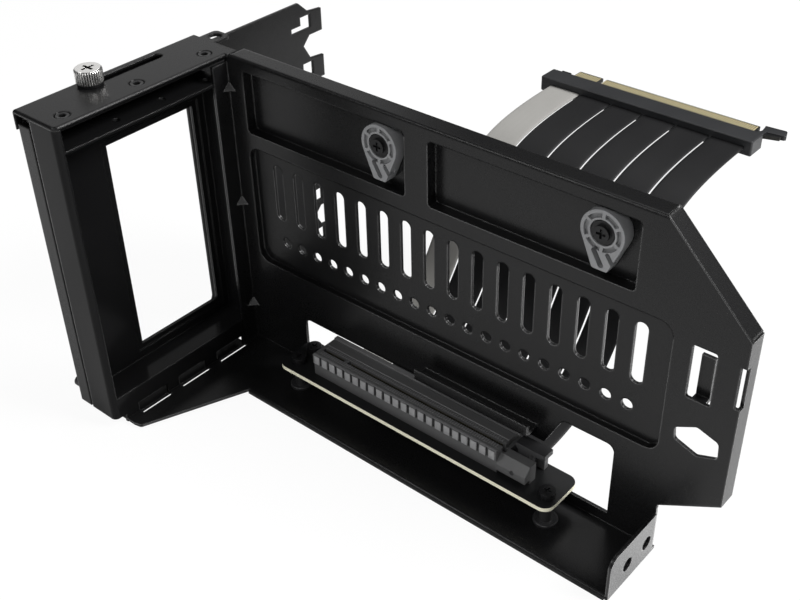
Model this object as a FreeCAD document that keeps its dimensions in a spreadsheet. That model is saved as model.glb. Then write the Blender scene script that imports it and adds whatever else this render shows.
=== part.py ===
import FreeCAD, Part
import Sketcher
import math
import os
from types import SimpleNamespace

# Vertical card mount: a case bracket, a sliding carriage of folded sheet, a riser board with its socket,
# and a flat riser cable with an edge plug.
# Every position below is measured from one datum: X = 0 on the inner face of the card wall, Y = 0 on the
# front face of the panel, Z = 0 on top of the cap. frameX, frameY and frameZ move that datum so that the
# origin lies on the outer face of the case plate.

values = {
    "sheetT": 1.2, "frameX": 22.0, "frameY": -28.0, "frameZ": 63.0, "bendR": 1.5,
    "panelRight": 210.5, "panelChamfer": 30.4, "panelLow": 94.2, "skewX": 189.4, "skewZ": 106.5,
    "flangeDepth": 7.2, "flangeStart": 1.9, "wallMargin": 7.0, "slitLong": 15.3, "slitTop": 39.7,
    "pocketDepth": 4.3, "pocketTop": 4.8, "pocketLow": 29.2, "pocketR": 1.6, "pocketLeftA": 7.7,
    "pocketLeftB": 83.6, "pocketRightA": 93.5, "pocketRightB": 172.5,
    "recessDepth": 2.6, "recessA": 7.2, "recessB": 186.6, "recessTop": 35.0, "recessLow": 85.2,
    "recessR": 5.0,
    "ventWidth": 4.6, "ventTall": 19.0, "ventPitch": 10.4, "ventCount": 16, "ventStart": 19.0,
    "ventZ": 52.5,
    "dotR": 2.1, "dotPitch": 8.0, "dotCount": 20, "dotStart": 20.9, "dotZ": 74.0,
    "winA": 30.2, "winB": 171.7, "winLow": 121.7, "winTop": 91.2, "winMid": 104.4, "slantLow": 144.7,
    "slantHigh": 151.5, "winR": 3.0,
    "gutterA": 91.5, "gutterB": 142.2, "gutterZ": 99.5, "gutterDeep": 6.5, "gutterLip": 4.3,
    "hatchA": 193.1, "hatchB": 201.1, "hatchTop": 38.7, "hatchLow": 58.4, "tongueWide": 4.6,
    "tongueTall": 15.0, "tongueBack": 4.6,
    "trayTop": 126.1, "trayFront": 28.2, "trayLip": 2.1, "trayRight": 190.0, "ledgeWide": 7.2,
    "ledgeFront": 69.6, "skirtX": 23.8, "endTall": 15.9, "endFront": 27.8, "endR": 4.0,
    "nutA": 5.2, "nutB": 17.1, "nutZ": 119.7, "nutFlat": 5.0, "nutBore": 1.25, "nutT": 2.6,
    "slotPitch": 20.32, "tailFirst": 15.4, "tailLong": 14.5, "tailOut": 2.3, "tailUp": 3.6,
    "dartLeg": 3.3, "dartTall": 2.7, "dartFirst": 11.1, "dartPitch": 48.1,
    "frameFront": 74.9, "backX": 12.6, "backRear": 1.6, "ioFront": 47.9, "ioRear": 8.2, "ioTop": 21.6,
    "ioLow": 108.9, "rimWide": 3.6, "rimDeep": 0.6, "ledgeZ": 9.4, "sillZ": 114.9, "screwX": 5.6,
    "screwFirst": 6.6, "screwR": 1.4, "railWide": 10.2, "stripLow": 124.1, "frontMargin": 72.4,
    "frontR": 2.2, "footDrop": 0.6,
    "capOuter": 23.5, "capRear": 4.5, "capDrop": 7.2, "capEnd": 0.7, "earA": 19.2, "earB": 11.1,
    "earRear": 12.7, "earX": 14.9, "earY": 8.6, "earR": 2.6, "slideX": 18.2, "slideFront": 46.6,
    "slideRear": 16.8, "slideR": 2.1,
    "capScrewX": 6.2, "capScrewFirst": 4.7, "capScrewPitch": 31.1, "capHoleR": 1.7, "capHeadR": 2.75,
    "capRound": 0.9,
    "plateX": 20.8, "plateTop": 4.2, "plateLow": 124.0, "plateRear": 58.0, "caseWinFront": 70.0,
    "caseWinRear": 4.0, "caseWinTop": 17.0, "caseWinLow": 117.0, "caseFlangeTop": 2.6,
    "caseFlangeX": 11.4, "caseFlangeRear": 6.0, "caseLip": 14.8, "lipTop": 4.6, "joggleZ": 8.2,
    "joggle": 0.5,
    "hookRear": 70.7, "hookTop": 9.8, "hookTall": 9.4, "hookCount": 6,
    "pinR": 2.3, "pinNeck": 1.9, "pinLong": 5.2, "pinY": 70.6, "pinZ": 120.3,
    "thumbY": 46.2, "thumbR": 4.9, "thumbTall": 4.4, "thumbLift": 0.9, "shankR": 1.75, "shankLow": 8.2,
    "washerR": 4.5, "washerT": 0.7, "washerGap": 0.15, "knurlCount": 30, "knurlR": 0.3,
    "camLeftX": 73.3, "camRightX": 160.3, "camZ": 12.9, "camR": 7.6, "camTip": 13.0, "camTipHalf": 2.65,
    "camFront": 0.9, "camBack": 4.1,
    "camRingIn": 5.0, "camRingOut": 6.5, "camRingDeep": 1.1, "camBore": 1.95,
    "camPinR": 1.9, "camHeadR": 4.0, "camHeadT": 0.9, "camPanR": 2.7, "camPanT": 1.1, "camSink": 1.2,
    "camRibT": 1.1, "camRibCount": 6, "camSlotWide": 1.9, "camHookWide": 1.6, "camSlotDeep": 3.2,
    "boardA": 32.0, "boardB": 159.5, "boardFront": 18.5, "boardRear": 1.0, "boardTop": 114.5,
    "boardT": 1.6, "boardR": 4.0,
    "postLeft": 38.0, "postRight": 155.0, "postY": 12.2, "postBackY": 3.8, "postR": 2.3, "postFootR": 3.2,
    "postFootT": 1.0, "postBore": 1.5, "headR": 2.9, "headT": 2.6,
    "socketA": 48.0, "socketLong": 87.0, "socketFront": 14.5, "socketRear": 0.4, "socketTall": 9.7,
    "cardY": 9.6, "socketSlot": 1.8, "socketDeep": 8.0, "keyX": 13.4, "keyWide": 1.6,
    "cellCount": 22, "cellGap": 0.9, "cellTall": 4.2, "cellDeep": 0.9, "bandSet": 0.5, "lineY": 13.0,
    "lineWide": 0.5, "lineDeep": 0.4,
    "blockEnd": 147.2, "blockTall": 7.6, "blockSlope": 3.0, "blockLift": 1.8, "forkA": 8.0, "forkB": 2.7,
    "contactPitch": 1.0, "contactWide": 0.6, "contactOut": 0.3,
    "latchX": 141.6, "latchZ": 110.6, "latchR": 2.8, "latchTip": 150.4,
    "stripA": 52.0, "stripPitch": 15.2, "stripWide": 14.8, "stripT": 1.0,
    "plugA": 47.0, "plugB": 145.6, "plugFront": 134.0, "plugDeep": 9.6, "plugTall": 6.6, "plugZ": 47.3,
    "edgeA": 55.2, "edgeShort": 11.65, "edgeNotch": 1.9, "edgeLong": 71.35, "edgeOut": 9.0,
    "fingerWide": 0.7, "fingerT": 0.05,
}

doc = FreeCAD.newDocument("VerticalCardMount")
sheet = doc.addObject("Spreadsheet::Sheet", "Sizes")
for row, (name, value) in enumerate(values.items(), start=1):
    sheet.set("A%d" % row, name)
    sheet.set("B%d" % row, str(value))
    sheet.setAlias("B%d" % row, name)
doc.recompute()


class Size:
    # A length that keeps both its number and the sheet expression that gives it.
    def __init__(self, text, number):
        self.text = text
        self.number = number

    def join(self, other, sign, number, swap=False):
        left, right = (size(other), self) if swap else (self, size(other))
        return Size("(%s %s %s)" % (left.text, sign, right.text), number)

    def __add__(self, other):
        return self.join(other, "+", self.number + float(other))

    def __radd__(self, other):
        return self.join(other, "+", float(other) + self.number, True)

    def __sub__(self, other):
        return self.join(other, "-", self.number - float(other))

    def __rsub__(self, other):
        return self.join(other, "-", float(other) - self.number, True)

    def __mul__(self, other):
        return self.join(other, "*", self.number * float(other))

    def __rmul__(self, other):
        return self.join(other, "*", float(other) * self.number, True)

    def __truediv__(self, other):
        return self.join(other, "/", self.number / float(other))

    def __neg__(self):
        return Size("(-1 * %s)" % self.text, -self.number)

    def __float__(self):
        return float(self.number)


def size(value):
    return value if isinstance(value, Size) else Size(repr(float(value)), float(value))


s = SimpleNamespace(**{name: Size("Sizes." + name, float(value)) for name, value in values.items()})
t = s.sheetT
nodes = []


def bind(item, field, value):
    item.setExpression(field, size(value).text)


def place(item, x=0, y=0, z=0):
    bind(item, "Placement.Base.x", s.frameX + x)
    bind(item, "Placement.Base.y", s.frameY + y)
    bind(item, "Placement.Base.z", s.frameZ + z)


def newBody(name):
    body = doc.addObject("PartDesign::Body", name)
    body.Label = name
    place(body)
    nodes.append(body)
    return body


def origin(body, role):
    return [item for item in body.Origin.OriginFeatures if item.Role == role][0]


def newSketch(body, plane, offset):
    sketch = doc.addObject("Sketcher::SketchObject", "Outline")
    body.addObject(sketch)
    sketch.AttachmentSupport = [(origin(body, plane + "_Plane"), "")]
    sketch.MapMode = "FlatFace"
    bind(sketch, "AttachmentOffset.Base.z", offset)
    return sketch


def fix(sketch, item, spot, x, y):
    for kind, value in (("DistanceX", x), ("DistanceY", y)):
        index = sketch.addConstraint(Sketcher.Constraint(kind, -1, 1, item, spot, float(size(value))))
        sketch.setExpression("Constraints[%d]" % index, size(value).text)


def polygon(sketch, points):
    spots = [FreeCAD.Vector(float(size(x)), float(size(y)), 0) for x, y in points]
    first = sketch.GeometryCount
    count = len(points)
    for i in range(count):
        sketch.addGeometry(Part.LineSegment(spots[i], spots[(i + 1) % count]), False)
    for i in range(count):
        sketch.addConstraint(Sketcher.Constraint("Coincident", first + i, 2, first + (i + 1) % count, 1))
    for i, (x, y) in enumerate(points):
        fix(sketch, first + i, 1, x, y)


def roundedBox(sketch, x0, y0, x1, y1, radius):
    sides = [((x0 + radius, y0), (x1 - radius, y0)), ((x1, y0 + radius), (x1, y1 - radius)),
             ((x1 - radius, y1), (x0 + radius, y1)), ((x0, y1 - radius), (x0, y0 + radius))]
    centres = [(x1 - radius, y0 + radius), (x1 - radius, y1 - radius), (x0 + radius, y1 - radius),
               (x0 + radius, y0 + radius)]
    first = sketch.GeometryCount
    for k in range(4):
        ends = [FreeCAD.Vector(float(size(x)), float(size(y)), 0) for x, y in sides[k]]
        sketch.addGeometry(Part.LineSegment(*ends), False)
        middle = FreeCAD.Vector(float(size(centres[k][0])), float(size(centres[k][1])), 0)
        bend = Part.Circle(middle, FreeCAD.Vector(0, 0, 1), float(radius))
        sketch.addGeometry(Part.ArcOfCircle(bend, (k - 1) * math.pi / 2, k * math.pi / 2), False)
    for k in range(4):
        side = first + 2 * k
        sketch.addConstraint(Sketcher.Constraint("Coincident", side, 2, side + 1, 1))
        sketch.addConstraint(Sketcher.Constraint("Coincident", side + 1, 2, first + (2 * k + 2) % 8, 1))
        fix(sketch, side, 1, *sides[k][0])
        fix(sketch, side, 2, *sides[k][1])
        index = sketch.addConstraint(Sketcher.Constraint("Radius", side + 1, float(radius)))
        sketch.setExpression("Constraints[%d]" % index, size(radius).text)


def circle(sketch, x, y, radius):
    centre = FreeCAD.Vector(float(size(x)), float(size(y)), 0)
    item = sketch.addGeometry(Part.Circle(centre, FreeCAD.Vector(0, 0, 1), float(size(radius))), False)
    fix(sketch, item, 3, x, y)
    index = sketch.addConstraint(Sketcher.Constraint("Radius", item, float(size(radius))))
    sketch.setExpression("Constraints[%d]" % index, size(radius).text)


# low and high are the two faces of the layer along the plane's own axis; the XZ plane faces -Y.
def layer(body, kind, plane, low, high, draw):
    sketch = newSketch(body, plane, -high if plane == "XZ" else low)
    draw(sketch)
    feature = doc.addObject("PartDesign::" + kind, kind)
    body.addObject(feature)
    feature.Profile = sketch
    bind(feature, "Length", high - low)
    feature.Reversed = kind == "Pocket"
    body.Tip = feature
    return feature


def add(body, plane, low, high, points):
    return layer(body, "Pad", plane, size(low), size(high), lambda sketch: polygon(sketch, points))


def cut(body, plane, low, high, points):
    return layer(body, "Pocket", plane, size(low), size(high), lambda sketch: polygon(sketch, points))


def box(x0, y0, x1, y1):
    return [(x0, y0), (x1, y0), (x1, y1), (x0, y1)]


def drill(body, plane, low, high, spots, radius):
    def draw(sketch):
        for x, y in spots:
            circle(sketch, x, y, radius)
    return layer(body, "Pocket", plane, size(low), size(high), draw)


def stand(body, plane, low, high, x, y, radius):
    return layer(body, "Pad", plane, size(low), size(high), lambda sketch: circle(sketch, x, y, radius))


def row(body, features, axis, span, count, reverse=False):
    pattern = doc.addObject("PartDesign::LinearPattern", "Row")
    body.addObject(pattern)
    pattern.Originals = features
    pattern.Direction = (origin(body, axis + "_Axis"), [""])
    pattern.Reversed = reverse
    bind(pattern, "Length", span)
    bind(pattern, "Occurrences", count)
    body.Tip = pattern
    return pattern


# Rounds the straight edges that run along axis through one of the spots (its other two coordinates).
def soften(body, axis, spots, radius):
    doc.recompute()
    along = "XYZ".index(axis)
    across = [i for i in range(3) if i != along]
    wanted = [(float(size(a)), float(size(b))) for a, b in spots]
    shape = body.Tip.Shape
    names = []
    for number, edge in enumerate(shape.Edges, start=1):
        if len(edge.Vertexes) != 2 or edge.Curve.TypeId != "Part::GeomLine":
            continue
        a, b = edge.Vertexes[0].Point, edge.Vertexes[1].Point
        if abs(a[across[0]] - b[across[0]]) > 1e-4 or abs(a[across[1]] - b[across[1]]) > 1e-4:
            continue
        if any(abs(a[across[0]] - u) < 0.02 and abs(a[across[1]] - v) < 0.02 for u, v in wanted):
            names.append("Edge%d" % number)
    print("rounded", body.Label, axis, len(names), "of", len(wanted))
    feature = doc.addObject("PartDesign::Fillet", "Round")
    body.addObject(feature)
    feature.Base = (body.Tip if body.Tip is not feature else feature.BaseFeature, names)
    bind(feature, "Radius", radius)
    body.Tip = feature
    return feature


# A solid block pressed back into the panel with walls and floor of the sheet's own thickness.
def press(body, x0, z0, x1, z1, depth, radius):
    layer(body, "Pad", "XZ", size(t / 2), depth + t,
          lambda sketch: roundedBox(sketch, x0 - t, z0 - t, x1 + t, z1 + t, radius + t))
    layer(body, "Pocket", "XZ", size(-0.5), depth, lambda sketch: roundedBox(sketch, x0, z0, x1, z1, radius))


def primitive(kind, name, x, y, z, turn=None, **fields):
    item = doc.addObject("Part::" + kind, name)
    for field, value in fields.items():
        bind(item, field, value)
    if turn:
        item.Placement = FreeCAD.Placement(FreeCAD.Vector(0, 0, 0), FreeCAD.Rotation(*turn))
    place(item, x, y, z)
    return item


def combine(kind, name, items):
    item = doc.addObject("Part::" + kind, name)
    if kind == "Compound":
        item.Links = items
    elif kind == "Cut":
        item.Base, item.Tool = items
    else:
        item.Shapes = items
    return item


def group(name, items):
    item = combine("Compound", name, items)
    item.Label = name
    nodes.append(item)
    return item


axisZ = FreeCAD.Vector(0, 0, 1)
alongY = (FreeCAD.Vector(1, 0, 0), -90)
againstX = (FreeCAD.Vector(0, 1, 0), -90)
towardX = (FreeCAD.Vector(0, 1, 0), 90)


# Case bracket: plate with a wide window, a top flange under the cap, a front lip and a row of rear tails
case = newBody("case_bracket")
outer = s.plateX + t
edge = [(-s.frameFront, -s.plateLow), (s.plateRear, -s.plateLow)]
for k in reversed(range(int(values["hookCount"]))):
    top = -(s.hookTop + s.slotPitch * k)
    low = top - s.hookTall
    edge += [(s.plateRear + 1.5, low - 3.8), (s.plateRear + 5.2, low), (s.hookRear, low), (s.hookRear, top)]
    edge += [(s.plateRear + 5.2, top + 0.8)]
edge += [(s.plateRear, -s.plateTop), (s.caseFlangeRear + 0.6, -s.plateTop),
         (s.caseFlangeRear + 0.6, -s.joggleZ), (-s.frameFront, -s.joggleZ)]
add(case, "YZ", -outer, -s.plateX, edge)
# Under the cap the sheet is joggled inward, so that the cap's flange stays clear of the face on the case.
inner = outer - s.joggle
add(case, "XY", -(s.caseFlangeTop + t), -s.caseFlangeTop,
    box(-inner, 1.9 - s.frameFront, -s.caseFlangeX, s.caseFlangeRear))
add(case, "YZ", -inner, t - inner, box(
    1.9 - s.frameFront, -s.joggleZ - t, s.caseFlangeRear, -s.caseFlangeTop))
add(case, "XZ", -s.frameFront, t - s.frameFront, [
    (-outer, -s.plateLow), (-s.caseLip, -s.plateLow), (-s.caseLip, -s.lipTop), (-inner, -s.lipTop),
    (-inner, -s.joggleZ), (-outer, -s.joggleZ)])
cut(case, "YZ", -outer - 1, 1 - s.plateX, box(-s.caseWinFront, -s.caseWinLow, -s.caseWinRear, -s.caseWinTop))
soften(case, "X", [(-s.caseWinFront, -s.caseWinLow), (-s.caseWinFront, -s.caseWinTop),
                   (-s.caseWinRear, -s.caseWinLow), (-s.caseWinRear, -s.caseWinTop)], 4)
for k in range(int(values["hookCount"])):
    top = -(s.hookTop + s.slotPitch * k)
    cut(case, "YZ", -outer - 1, 1 - s.plateX, [
        (s.plateRear + 0.5, top - 0.6), (s.plateRear + 6.2, top - 0.6), (s.plateRear + 6.2, top - 6.4),
        (s.plateRear - 4.8, top - 6.4), (s.plateRear - 4.8, top - 4.0), (s.plateRear + 0.5, top - 4.0)])
drill(case, "XY", -6, 0, [(-s.slideX, -s.thumbY)], s.shankR + 0.05)
drill(case, "YZ", -outer - 1, 1 - s.plateX, [(-s.pinY, -s.pinZ)], s.pinNeck + 0.03)
drill(case, "YZ", -outer - 1, 0.4 - outer, [(-s.pinY, -s.pinZ)], s.pinR + 0.03)
soften(case, "Y", [(-inner, -s.caseFlangeTop)], s.bendR - 0.5)
soften(case, "Z", [(-outer, -s.frameFront)], s.bendR)

# Locating pin: a stepped stud riveted into the plate, standing out on its outer side
pin = newBody("locating_pin")
stand(pin, "YZ", -(outer + s.pinLong), -outer, -s.pinY, -s.pinZ, s.pinR)
stand(pin, "YZ", -(outer + s.pinLong + 0.6), -(outer + s.pinLong), -s.pinY, -s.pinZ, s.pinR - 0.7)
stand(pin, "YZ", -outer, -s.plateX, -s.pinY, -s.pinZ, s.pinNeck)

# Main bracket: panel with pressed pockets, back flanges, tray, ledge, wall margin and end flange
main = newBody("main_bracket")
floor = s.trayTop + t
add(main, "XZ", 0, t, [
    (-t, -t), (s.flangeStart - 0.4, -t), (s.flangeStart - 0.4, 0), (s.panelRight - s.panelChamfer, 0),
    (s.panelRight, -s.panelChamfer), (s.panelRight, -s.panelLow), (s.skewX, -s.skewZ), (s.skewX, -floor),
    (-t, -floor)])
add(main, "XY", -t, 0, box(s.flangeStart, 0, s.panelRight - s.panelChamfer - 0.5, s.flangeDepth))
add(main, "XZ", 0, s.flangeDepth, [
    (s.panelRight - s.panelChamfer, 0), (s.panelRight - 0.4, 0.4 - s.panelChamfer),
    (s.panelRight - t * 1.414 - 0.4, 0.4 - s.panelChamfer), (s.panelRight - s.panelChamfer, -1.414 * t)])
add(main, "XZ", 0, s.flangeDepth, [
    (s.panelRight - t, -s.panelChamfer), (s.panelRight, -s.panelChamfer), (s.panelRight, -s.panelLow),
    (s.panelRight - t, -s.panelLow - 0.7)])
add(main, "YZ", -t, 0, box(-s.wallMargin, -floor, t, -3))
add(main, "XY", -floor, -s.trayTop, [
    (-t, t), (s.trayRight, t), (s.trayRight, -s.trayFront), (s.skirtX, -s.trayFront),
    (s.ledgeWide, 0.6 - s.ledgeFront), (s.ledgeWide - 3, -s.ledgeFront), (0, -s.ledgeFront),
    (0, -s.wallMargin), (-t, -s.wallMargin)])
add(main, "XZ", -s.trayFront, t - s.trayFront, box(
    s.skirtX, -s.trayTop - s.trayLip, s.trayRight - 1.5, -s.trayTop))
add(main, "YZ", s.trayRight - t, s.trayRight, box(-s.endFront, -floor, -0.4, s.endTall - s.trayTop))
soften(main, "X", [(-s.endFront, s.endTall - s.trayTop)], s.endR)
drill(main, "YZ", s.trayRight - 3, s.trayRight + 1, [
    (-s.nutA, -s.nutZ), (-s.nutB, -s.nutZ)], s.nutFlat * 0.52)
press(main, s.pocketLeftA, -s.pocketLow, s.pocketLeftB, -s.pocketTop, s.pocketDepth, s.pocketR)
press(main, s.pocketRightA, -s.pocketLow, s.pocketRightB, -s.pocketTop, s.pocketDepth, s.pocketR)
press(main, s.recessA, -s.recessLow, s.recessB, -s.recessTop, s.recessDepth, s.recessR)
deep = s.recessDepth + t + 1
half = s.ventTall / 2
slotCut = cut(main, "XZ", 1, deep, box(
    s.ventStart - s.ventWidth / 2, -s.ventZ - half, s.ventStart + s.ventWidth / 2, half - s.ventZ))
roundCut = drill(main, "XZ", 1, deep, [
    (s.ventStart, -s.ventZ - half), (s.ventStart, half - s.ventZ)], s.ventWidth / 2)
row(main, [slotCut, roundCut], "X", s.ventPitch * (s.ventCount - 1), s.ventCount)
dotCut = drill(main, "XZ", 1, deep, [(s.dotStart, -s.dotZ)], s.dotR)
row(main, [dotCut], "X", s.dotPitch * (s.dotCount - 1), s.dotCount)
cut(main, "XZ", -0.5, t + 0.5, [
    (s.winA, -s.winLow), (s.winB, -s.winLow), (s.winB, -s.winTop), (s.slantHigh, -s.winTop),
    (s.slantLow, -s.winMid), (s.winA, -s.winMid)])
soften(main, "Y", [(s.winB, -s.winTop), (s.slantHigh, -s.winTop), (s.winA, -s.winMid)], s.winR)
add(main, "XY", -s.gutterZ, t - s.gutterZ, box(s.gutterA + 0.5, -s.gutterDeep, s.gutterB - 0.5, t / 2))
add(main, "XZ", -s.gutterDeep, t - s.gutterDeep, box(
    s.gutterA + 0.5, -s.gutterZ, s.gutterB - 0.5, s.gutterLip - s.gutterZ))
cut(main, "XZ", -0.5, t + 0.5, box(s.hatchA, -s.hatchLow, s.hatchB, -s.hatchTop))
soften(main, "Y", [(s.hatchA, -s.hatchLow), (s.hatchA, -s.hatchTop), (s.hatchB, -s.hatchLow),
                   (s.hatchB, -s.hatchTop)], 0.8)
middle = (s.hatchA + s.hatchB) / 2
add(main, "XY", -s.hatchLow - t, -s.hatchLow,
    box(middle - s.tongueWide / 2, 0, middle + s.tongueWide / 2, s.tongueBack))
add(main, "XZ", s.tongueBack - t, s.tongueBack,
    box(middle - s.tongueWide / 2, -s.hatchLow - t, middle + s.tongueWide / 2, s.tongueTall - s.hatchLow))
lens = [(-8.0, 1.6), (-0.8, 5.4), (6.8, 2.9), (7.2, -3.2), (0.2, -5.8), (-7.6, -3.0)]
cut(main, "XZ", -0.5, t + 0.5, [(s.panelRight - 11.3 + x, -73.2 + z) for x, z in lens])
soften(main, "Y", [(s.panelRight - 11.3 + x, -73.2 + z) for x, z in lens], 1.6)
cut(main, "XZ", -0.5, 2.2, box(s.panelRight - 1.9, -s.slitTop - s.slitLong, s.panelRight + 1, -s.slitTop))
tail = cut(main, "XY", -floor - 1, 1 - s.trayTop, box(
    -0.5, -s.tailFirst - s.tailLong / 2, s.tailOut, s.tailLong / 2 - s.tailFirst))
row(main, [tail], "Y", s.slotPitch * 2, 3, True)
for k in range(3):
    foot = -(s.dartFirst + s.dartTall + s.dartPitch * k)
    ends = []
    for leg, height in ((s.dartLeg, foot), (s.dartLeg * 0.12, foot + s.dartTall)):
        ends.append(newSketch(main, "XY", height))
        polygon(ends[-1], [(-t / 2, t / 2), (leg, t / 2), (leg, 0), (0, -leg), (-t / 2, -leg)])
    dart = doc.addObject("PartDesign::AdditiveLoft", "Dart")
    main.addObject(dart)
    dart.Profile = ends[0]
    dart.Sections = [ends[1]]
    dart.Ruled = True
    main.Tip = dart
soften(main, "X", [(0, 0)], 0.9 * t)
soften(main, "X", [(-s.trayFront, -s.trayTop)], 0.9 * t)
soften(main, "Z", [(s.ledgeWide, 0.6 - s.ledgeFront)], 1.6)

# Slot frame: recessed plate with the port window, front strip, screw ledge, sill, foot and cap rail
slot = newBody("slot_frame")
back = s.backX + t
add(slot, "YZ", -back, -s.backX, box(-s.frameFront, -s.sillZ - t, -s.backRear, -s.ledgeZ))
add(slot, "YZ", -back - s.rimDeep, -s.backX, box(
    -s.ioFront - s.rimWide, -s.ioLow - s.rimWide, s.rimWide - s.ioRear, s.rimWide - s.ioTop))
cut(slot, "YZ", -s.backX - s.rimDeep, 1 - s.backX, box(
    t - s.ioFront - s.rimWide, t - s.ioLow - s.rimWide, s.rimWide - s.ioRear - t, s.rimWide - s.ioTop - t))
cut(slot, "YZ", -back - 3, 1 - s.backX, box(-s.ioFront, -s.ioLow, -s.ioRear, -s.ioTop))
shelf = [(-back, -s.frameFront), (0, -s.frameFront), (0, -s.wallMargin), (-t, -s.wallMargin),
         (-t, -s.backRear), (-back, -s.backRear)]
add(slot, "XY", -s.ledgeZ - t, -s.ledgeZ, shelf)
add(slot, "XY", -s.sillZ - t, -s.sillZ, shelf)
add(slot, "XZ", -s.frameFront, t - s.frameFront, box(-back, -s.stripLow, 0, -t))
add(slot, "YZ", -t, 0, box(-s.frameFront, -s.stripLow, -s.frontMargin, -t))
add(slot, "XZ", -s.backRear - t, -s.backRear, box(-back, -s.sillZ - t, -t, -s.ledgeZ))
add(slot, "XY", -2 * t, -t, box(-s.railWide, 1 - s.frameFront, -0.8, -0.4))
foot = -floor - s.footDrop
add(slot, "YZ", -t, 0, [
    (-s.frameFront, -s.stripLow), (-s.ledgeFront, -s.stripLow), (-s.ledgeFront, foot), (-s.wallMargin, foot),
    (-s.wallMargin, -s.sillZ), (-s.frameFront, -s.sillZ)])
add(slot, "XY", foot, foot + t, box(-back, 0.5 - s.ledgeFront, 0, -s.wallMargin))
drill(slot, "XY", -s.ledgeZ - t - 1, 1 - s.ledgeZ, [
    (-s.screwX, -s.screwFirst - s.slotPitch * k) for k in range(3)], s.screwR)
drill(slot, "XY", -2 * t - 1, 0, [
    (-s.capScrewX, -s.capScrewFirst - s.capScrewPitch * k) for k in range(3)], s.capHoleR - 0.3)
for k in range(3):
    middle = s.tailFirst + s.slotPitch * k
    cut(slot, "YZ", -t - 1, 1, box(
        -middle - s.tailLong / 2, foot + t, s.tailLong / 2 - middle, s.tailUp - s.trayTop))
soften(slot, "Z", [(0, -s.frameFront)], s.frontR)

# Top cap: cover with travel slot, outer flange and rear ear
cap = newBody("top_cap")
add(cap, "XY", -t, 0, [
    (-s.capOuter, -s.frameFront), (0, -s.frameFront), (0, -0.2), (s.capEnd, -0.2), (s.capEnd, s.capRear),
    (-s.earB, s.capRear), (-s.earB, s.earRear), (-s.earA, s.earRear), (-s.earA, s.capRear),
    (-s.capOuter, s.capRear)])
soften(cap, "Z", [(0, -s.frameFront), (-s.earB, s.earRear), (-s.earA, s.earRear)], 2)
add(cap, "YZ", -s.capOuter, t - s.capOuter, box(-s.frameFront, -s.capDrop, s.capRear, 0))
cut(cap, "XY", -t - 1, 1, box(-s.slideX - s.slideR, -s.slideFront, s.slideR - s.slideX, -s.slideRear))
drill(cap, "XY", -t - 1, 1, [(-s.slideX, -s.slideFront), (-s.slideX, -s.slideRear)], s.slideR)
drill(cap, "XY", -t - 1, 1, [(-s.earX, s.earY)], s.earR)
capSpots = [(-s.capScrewX, -s.capScrewFirst - s.capScrewPitch * k) for k in range(3)]
drill(cap, "XY", -t - 1, 1, capSpots, s.capHoleR)
drill(cap, "XY", -0.8, 1, capSpots, s.capHeadR)
soften(cap, "Y", [(-s.capOuter, 0)], s.bendR)
soften(cap, "Y", [(0, 0)], s.capRound)


# A screw standing on z, pointing down, with a cross recess in its head.
def crossScrew(name, x, y, z, headR, headT, shankR, shankLong, recess, bar=0.24):
    head = primitive("Cylinder", name + "Head", x, y, z, Radius=headR, Height=headT)
    shank = primitive("Cylinder", name + "Shank", x, y, z - shankLong, Radius=shankR,
                      Height=shankLong + headT / 2)
    solid = combine("MultiFuse", name + "Solid", [head, shank])
    long = headR * 1.0
    wide = headR * bar
    first = primitive("Box", name + "BarA", x - long / 2, y - wide / 2, z + headT - recess,
                      Length=long, Width=wide, Height=recess + 1)
    second = primitive("Box", name + "BarB", x - wide / 2, y - long / 2, z + headT - recess,
                       Length=wide, Width=long, Height=recess + 1)
    bars = combine("MultiFuse", name + "Cross", [first, second])
    return combine("Cut", name, [solid, bars])


group("cap_screws", [
    crossScrew("CapScrew%d" % k, x, y, -0.8, s.capHeadR - 0.3, 0.7, s.capHoleR - 0.35, 2.4, 0.5, 0.45)
    for k, (x, y) in enumerate(capSpots)])

# Thumbscrew: a knurled head with a slotted cross, a neck and a threaded shank held in the case flange
thumb = newBody("thumbscrew")
headLow = s.washerGap + s.washerT
stand(thumb, "XY", headLow, headLow + s.thumbLift, -s.slideX, -s.thumbY, s.thumbR - 1.0)
headTop = headLow + s.thumbLift + s.thumbTall
stand(thumb, "XY", headLow + s.thumbLift, headTop, -s.slideX, -s.thumbY, s.thumbR)
stand(thumb, "XY", -s.shankLow, headLow, -s.slideX, -s.thumbY, s.shankR)
for armX, armY in ((2.6, 0.5), (0.5, 2.6)):
    cut(thumb, "XY", headTop - 1.6, headTop + 1, box(
        -s.slideX - armX, -s.thumbY - armY, armX - s.slideX, armY - s.thumbY))
doc.recompute()


# The knurl: small upright grooves round the head.
def knurl(sketch):
    count = int(values["knurlCount"])
    for k in range(count):
        turn = math.tau * k / count
        circle(sketch, s.thumbR * math.cos(turn) - s.slideX, s.thumbR * math.sin(turn) - s.thumbY, s.knurlR)


layer(thumb, "Pocket", "XY", headLow + s.thumbLift + 0.5, headTop - 0.6, knurl)

washer = newBody("thumbscrew_washer")
stand(washer, "XY", s.washerGap, headLow, -s.slideX, -s.thumbY, s.washerR)
drill(washer, "XY", s.washerGap - 1, headLow + 1, [(-s.slideX, -s.thumbY)], s.shankR + 0.35)


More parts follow.
